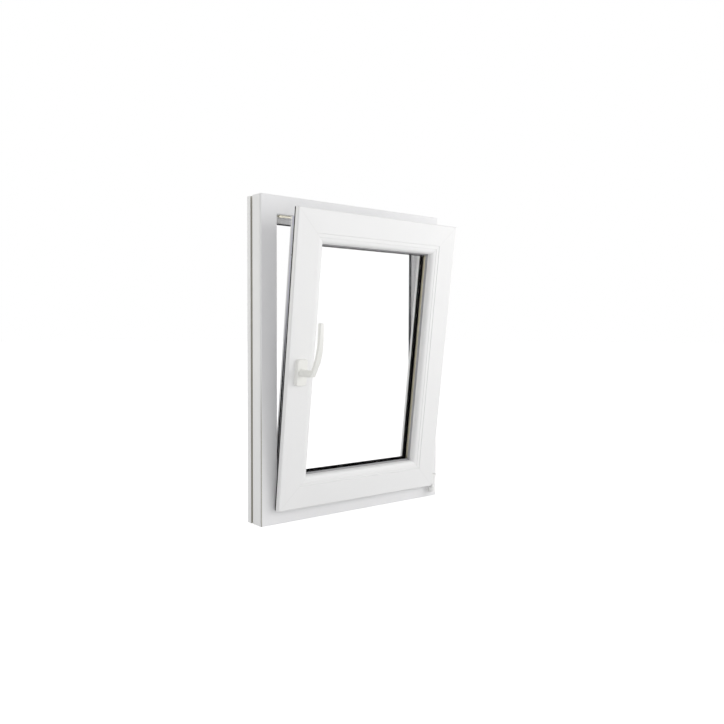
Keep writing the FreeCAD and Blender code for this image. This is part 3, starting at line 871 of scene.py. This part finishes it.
@dataclass
class OuterFrame(Assembly):
    """The fixed frame with its seal, keeps and drains, in metres.

    Attributes:
        sole_inset: Distance from the outer edge to the keeps' soles.
        sole_depth: Middle of the soles across the depth, as y.
        keep_screws: Places of the keeps' screws along their sides.
    """

    sole_inset: float = 44.7 * MM
    sole_depth: float = -10.0 * MM
    keep_screws: dict[Side, tuple[float, ...]] = field(default_factory=lambda: {
        Side.TOP: (-203 * MM, -188 * MM),
        Side.BOTTOM: (-203 * MM, -188 * MM),
        Side.LEFT: (205 * MM, 220 * MM),
    })

    def dress(self) -> None:
        """Put the finishes on the frame's nodes."""
        paint(["frame_head", "frame_sill", "frame_left_jamb", "frame_right_jamb"], self.palette.frame_pvc)
        paint(["drain_caps"], self.palette.frame_pvc)
        paint(["stop_seal"], self.palette.stop_seal)
        paint(["head_keep", "sill_tilt_keep", "left_jamb_keep"], self.palette.keep)

    def build(self) -> None:
        """Screw the keeps down."""
        spots = []
        for side, runs in self.keep_screws.items():
            for run in runs:
                spot = self.rectangle.spot(side, run, self.sole_inset, self.sole_depth, -side.outward)
                spots.append(spot)
        screw = ScrewHead("keep_screw", {
            "Head Radius": 2.6 * MM, "Head Height": 1.0 * MM,
            "Recess Length": 3.2 * MM, "Recess Width": 0.8 * MM})
        screws = screw.build("keep_screws", spots, self.palette.steel)
        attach(screws, "frame")


@dataclass
class Sash(Assembly):
    """The tilted sash with its seals and locking strips, in metres.

    Attributes:
        strip_inset: Distance from the sash's edge to the strips' outer face.
        strip_depth: Middle of the strips across the depth, as y.
        strip_end: Distance from the sash's corner to a strip's end.
        screw_pitch: Distance between the strips' screws.
        bead_inset: Distance from the sash's edge to the seal bead on its side.
        bead_depth: Middle of the bead across the depth, as y.
        bead_width: The bead's width across the depth.
        cam_inset: Distance from the sash's edge to the heads of the locking cams.
        cam_runs: Places of the cams along their sides.
    """

    strip_inset: float = 19.0 * MM
    strip_depth: float = -10.0 * MM
    strip_end: float = 45.0 * MM
    screw_pitch: float = 90.0 * MM
    bead_inset: float = 19.7 * MM
    bead_depth: float = 1.2 * MM
    bead_width: float = 5.0 * MM
    cam_inset: float = 15.0 * MM
    cam_runs: dict[Side, float] = field(default_factory=lambda: {
        Side.TOP: -169 * MM,
        Side.BOTTOM: -169 * MM,
        Side.LEFT: 237 * MM,
    })

    def dress(self) -> None:
        """Put the finishes on the sash's nodes."""
        paint(["sash_top_rail", "sash_bottom_rail", "handle_stile", "hinge_stile"], self.palette.sash_pvc)
        paint(["bead_top", "bead_bottom", "bead_left", "bead_right"], self.palette.sash_pvc)
        paint(["overlap_seal"], self.palette.seal)
        paint(["handle_side_faceplate", "bottom_faceplate"], self.palette.steel)
        paint(["stay_rail", "locking_cams"], self.palette.steel)

    def build(self) -> None:
        """Finish the strips, the cams and the seal on the sash's edge."""
        self.strips()
        self.sockets()
        self.bead()

    def strips(self) -> None:
        """Put the screws, and dark inlays of painted shade for the punched slots between them, on the
        strips.
        """
        screws = []
        slots = []
        for side in (Side.LEFT, Side.BOTTOM):
            half = self.rectangle.half_length(side)
            count = int((2 * half - 2 * self.strip_end) / self.screw_pitch)
            for spots, number in ((screws, count), (slots, count - 1)):
                for run in row(number, self.screw_pitch):
                    spots.append(self.on_strip(side, run, self.strip_inset))
        screw = ScrewHead("strip_screw", {
            "Head Radius": 3.0 * MM, "Head Height": 0.8 * MM,
            "Recess Length": 3.6 * MM, "Recess Width": 0.9 * MM})
        slot = LongSlot("strip_slot", {
            "Slot Length": 22 * MM, "Slot Width": 4 * MM, "Slot Height": 0.1 * MM})
        heads = screw.build("strip_screws", screws, self.palette.steel)
        cuts = slot.build("strip_slots", slots, self.palette.hole)
        for piece in (heads, cuts):
            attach(piece, "sash")

    def sockets(self) -> None:
        """Put a dark inlay of painted shade for the adjusting key's socket in the head of each cam."""
        spots = [self.on_strip(side, run, self.cam_inset) for side, run in self.cam_runs.items()]
        socket = LongSlot("cam_socket", {
            "Slot Length": 3.4 * MM, "Slot Width": 3.2 * MM, "Slot Height": 0.1 * MM})
        sockets = socket.build("cam_sockets", spots, self.palette.hole)
        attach(sockets, "sash")

    def bead(self) -> None:
        """Run a seal bead round the sash's edge, behind the strips."""
        bead = RingBead("rebate_bead", {
            "Ring Width": 2 * (self.rectangle.half_width - self.bead_inset),
            "Ring Height": 2 * (self.rectangle.half_height - self.bead_inset),
            "Bead Thickness": 1.0 * MM, "Bead Width": self.bead_width})
        line = bead.build("rebate_bead", [self.rectangle.centre(self.bead_depth)], self.palette.edge_seal)
        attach(line, "sash")

    def on_strip(self, side: Side, run: float, inset: float) -> Spot:
        """Find a spot on the middle line of a strip, facing out of the sash.

        Args:
            side: The side that the strip is on.
            run: Distance along the side, from its middle.
            inset: Distance from the sash's edge.

        Returns:
            The spot, at rest.
        """
        return self.rectangle.spot(side, run, inset, self.strip_depth, side.outward)


@dataclass
class Glazing(Assembly):
    """The sealed glass unit, in metres.

    Attributes:
        spacer_inset: Distance from the sash's edge to the spacer's visible face.
        spacer_depth: Middle of the spacer across the depth, as y.
        hole_pitch: Distance between the spacer's holes.
        lip_inset: Distance from the sash's edge to the soft lip of the outer gasket.
        lip_depth: Middle of the lip across the depth, as y.
    """

    spacer_inset: float = 74.0 * MM
    spacer_depth: float = -18.0 * MM
    hole_pitch: float = 5.6 * MM
    lip_inset: float = 79.7 * MM
    lip_depth: float = -9.0 * MM

    def dress(self) -> None:
        """Put the finishes on the unit's nodes."""
        paint(["inner_pane", "outer_pane"], self.palette.glass)
        paint(["glass_spacer"], self.palette.spacer)
        paint(["bead_gasket"], self.palette.gasket)
        paint(["outer_glazing_gasket"], self.palette.seal)

    def build(self) -> None:
        """Finish the spacer and the outer gasket."""
        self.holes()
        self.lip()

    def holes(self) -> None:
        """Lay dark inlays of painted shade for the rows of holes in the spacer's visible faces."""
        spots = []
        for side in Side:
            half = self.rectangle.half_length(side)
            # One hole less than fits, so that the corners stay plain
            count = int(2 * (half - self.spacer_inset) / self.hole_pitch) - 1
            for run in row(count, self.hole_pitch):
                spot = self.rectangle.spot(side, run, self.spacer_inset, self.spacer_depth, -side.outward)
                spots.append(spot)
        hole = LongSlot("spacer_hole", {
            "Slot Length": 2.6 * MM, "Slot Width": 1.3 * MM, "Slot Height": 0.05 * MM})
        holes = hole.build("spacer_holes", spots, self.palette.hole)
        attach(holes, "sash")

    def lip(self) -> None:
        """Run the soft lip of the outer gasket round the glass."""
        lip = RingBead("gasket_lip", {
            "Ring Width": 2 * (self.rectangle.half_width - self.lip_inset),
            "Ring Height": 2 * (self.rectangle.half_height - self.lip_inset),
            "Bead Thickness": 2.0 * MM, "Bead Width": 1.8 * MM})
        line = lip.build("gasket_lip", [self.rectangle.centre(self.lip_depth)], self.palette.seal)
        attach(line, "sash")


@dataclass
class Hinges(Assembly):
    """The corner pivot, the stay and their bearings.

    Attributes:
        coated: The nodes with a white coat.
        plated: The nodes of bare plated steel.
    """

    coated: tuple[str, ...] = ("corner_bearing", "stay_bearing", "hinge_strap", "corner_pivot")
    plated: tuple[str, ...] = ("stay_arm",)

    def dress(self) -> None:
        """Put the finishes on the hinges' nodes."""
        paint(self.coated, self.palette.hinge)
        paint(self.plated, self.palette.steel)


@dataclass
class Handle(Assembly):
    """The turning handle, in metres.

    Attributes:
        seat_inset: Distance from the sash's edge to the handle's axis.
        seat_run: Place of the axis along the stile, from its middle.
        seat_depth: Face of the stile across the depth, as y.
        rib_start: Distance from the stile to the first rib.
        rib_pitch: Distance between the ribs.
        rib_count: How many ribs there are.
        neck_root: Distance from the stile to the neck's root.
        neck_reach: Distance from the stile to the neck's end.
        neck_rise: How far the neck's end lies above its root.
        neck_curve: Power of its reach with which the neck rises.
        nodes: The handle's nodes.
    """

    seat_inset: float = 33.0 * MM
    seat_run: float = -21.0 * MM
    seat_depth: float = -48.0 * MM
    rib_start: float = 17.0 * MM
    rib_pitch: float = 5.8 * MM
    rib_count: int = 5
    neck_root: float = 13.4 * MM
    neck_reach: float = 49.0 * MM
    neck_rise: float = 5.0 * MM
    neck_curve: float = 1.5
    nodes: tuple[str, ...] = ("handle_rosette", "handle_neck", "handle_grip")

    def dress(self) -> None:
        """Put the finish on the handle's nodes."""
        paint(self.nodes, self.palette.handle)

    def build(self) -> None:
        """Ring the neck with ribs."""
        spots = []
        for index in range(self.rib_count):
            reach = self.rib_start + index * self.rib_pitch
            share = (reach - self.neck_root) / (self.neck_reach - self.neck_root)
            run = self.seat_run + self.neck_rise * share ** self.neck_curve
            depth = self.seat_depth - reach
            spots.append(self.rectangle.spot(Side.LEFT, run, self.seat_inset, depth, TO_ROOM))
        ring = RibRing("neck_rib", {"Ring Radius": 7.4 * MM, "Bead Radius": 1.0 * MM})
        ribs = ring.build("neck_ribs", spots, self.palette.handle)
        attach(ribs, "handle")


@dataclass(frozen=True)
class SoftBox:
    """A square soft light.

    Attributes:
        place: Where it hangs, in metres.
        size: Length of its edges, in metres.
        power: Its power in watts.
        colour: Its linear colour.
    """

    place: tuple[float, float, float]
    size: float
    power: float
    colour: tuple[float, float, float]


@dataclass
class Studio:
    """Camera, light and floor of the picture.

    Attributes:
        eye: The camera's place, in metres.
        yaw: How far the camera looks to the right of +Y, in degrees.
        pitch: How far it looks up, in degrees.
        roll: How far it is turned about its own view, in degrees.
        lens: Focal length, in millimetres.
        sensor: Width of the picture in the camera, in millimetres.
        near: Distance from which the camera sees, in metres.
        aim: The point that all soft lights face, in metres.
        ambient: Linear colour of the even light from all round.
        floor_glow: How much of its own light the floor adds where it is seen.
        floor_colour: The floor's colour as an sRGB hex value.
        floor_reach: Half the floor's width, in metres.
        boxes: The soft lights by name.
    """

    eye: tuple[float, float, float] = (-1.13741, -1.45545, 0.43440)
    yaw: float = 38.966
    pitch: float = -2.085
    roll: float = 0.171
    lens: float = 36.667
    sensor: float = 36.0
    near: float = 0.05
    aim: tuple[float, float, float] = (0.0, 0.0, 0.4)
    ambient: Colour = (0.60, 0.60, 0.603, 1.0)
    floor_glow: float = 0.6
    floor_colour: str = "#EBEBEB"
    floor_reach: float = 40.0
    boxes: dict[str, SoftBox] = field(default_factory=lambda: {
        "key": SoftBox((2.3, -2.2, 0.8), 2.6, 52.0, (1.0, 0.997, 0.985)),
        "back": SoftBox((-1.9, 2.2, 1.0), 1.6, 10.0, (1.0, 1.0, 0.86)),
        "fill": SoftBox((-2.4, -2.2, 0.5), 1.6, 12.0, (1.0, 1.0, 1.0)),
    })

    def build(self) -> None:
        """Make the camera, the lamps, the world and the floor."""
        bpy.context.scene.view_settings.view_transform = "Standard"
        self.camera()
        self.lamps()
        self.world()
        self.floor()

    def camera(self) -> None:
        """Stand the camera at the photograph's viewing angle."""
        data = bpy.data.cameras.new("camera")
        data.lens = self.lens
        data.sensor_width = self.sensor
        data.clip_start = self.near
        camera = bpy.data.objects.new("camera", data)
        heading = Matrix.Rotation(math.radians(-self.yaw), 4, "Z")
        nod = Matrix.Rotation(math.radians(90 + self.pitch), 4, "X")
        lean = Matrix.Rotation(math.radians(self.roll), 4, "Z")
        camera.matrix_world = Matrix.Translation(self.eye) @ heading @ nod @ lean
        bpy.context.scene.collection.objects.link(camera)
        bpy.context.scene.camera = camera

    def lamps(self) -> None:
        """Hang the soft lights."""
        for name, box in self.boxes.items():
            light = bpy.data.lights.new(name, "AREA")
            light.size = box.size
            light.energy = box.power
            light.color = box.colour
            lamp = bpy.data.objects.new(name, light)
            lamp.location = box.place
            way = Vector(self.aim) - Vector(box.place)
            lamp.rotation_euler = way.to_track_quat("-Z", "Y").to_euler()
            bpy.context.scene.collection.objects.link(lamp)

    def world(self) -> None:
        """Light the room evenly, and show plain white to the camera, in mirrors and through glass."""
        world = bpy.data.worlds.new("studio")
        bpy.context.scene.world = world
        world.use_nodes = True
        tree = world.node_tree
        tree.nodes.clear()
        mixed = add_node(tree, "ShaderNodeMix", {"data_type": "RGBA"}, {
            MIX_SHARE: self.seen(tree), MIX_UNDER: self.ambient, MIX_OVER: WHITE})
        sky = add_node(tree, "ShaderNodeBackground", inputs={
            "Color": mixed.outputs[MIX_RESULT], "Strength": 1.0})
        add_node(tree, "ShaderNodeOutputWorld", inputs={"Surface": sky.outputs["Background"]})

    def floor(self) -> None:
        """Lay a pale floor that keeps the shadow."""
        reach = self.floor_reach
        mesh = bpy.data.meshes.new("floor")
        corners = [(-reach, -reach, 0), (reach, -reach, 0), (reach, reach, 0), (-reach, reach, 0)]
        mesh.from_pydata(corners, [], [(0, 1, 2, 3)])
        floor = bpy.data.objects.new("floor", mesh)
        bpy.context.scene.collection.objects.link(floor)
        material = bpy.data.materials.new("pale_floor")
        material.use_nodes = True
        tree = material.node_tree
        tree.nodes.clear()
        matt = add_node(tree, "ShaderNodeBsdfDiffuse", inputs={"Color": linear(self.floor_colour)})
        glow = add_node(tree, "ShaderNodeEmission", inputs={"Strength": self.floor_glow})
        lit = add_node(tree, "ShaderNodeAddShader", inputs={0: matt.outputs[0], 1: glow.outputs[0]})
        mixed = add_node(tree, "ShaderNodeMixShader", inputs={
            0: self.seen(tree), 1: matt.outputs[0], 2: lit.outputs[0]})
        add_node(tree, "ShaderNodeOutputMaterial", inputs={"Surface": mixed.outputs[0]})
        mesh.materials.append(material)

    @staticmethod
    def seen(tree: Tree) -> Source:
        """Tell rays that show the backdrop from rays that light the object.

        Args:
            tree: The node tree of the world or the floor.

        Returns:
            One for camera, glossy and transmission rays, and zero for the rest.
        """
        path = add_node(tree, "ShaderNodeLightPath").outputs
        share: Source = path["Is Camera Ray"]
        for ray in ("Is Glossy Ray", "Is Transmission Ray"):
            share = add_node(tree, MATH, {"operation": "MAXIMUM"}, {0: share, 1: path[ray]})
        return share


def main() -> None:
    """Dress the window and set the stage."""
    logging.basicConfig(level=logging.INFO, format="%(name)s: %(message)s")
    tilt = Tilt.from_joints(frame["joints"])
    outer = Rectangle(half_width=275 * MM, half_height=375 * MM, middle=375 * MM)
    inner = Rectangle(half_width=242 * MM, half_height=342 * MM, middle=375 * MM, tilt=tilt)
    palette = Palette(outer, inner)
    assemblies = (
        Hinges(palette, inner),
        OuterFrame(palette, outer),
        Sash(palette, inner),
        Glazing(palette, inner),
        Handle(palette, inner),
    )
    for assembly in assemblies:
        assembly.dress()
        assembly.build()
    Studio().build()


if __name__ == "__main__":
    main()
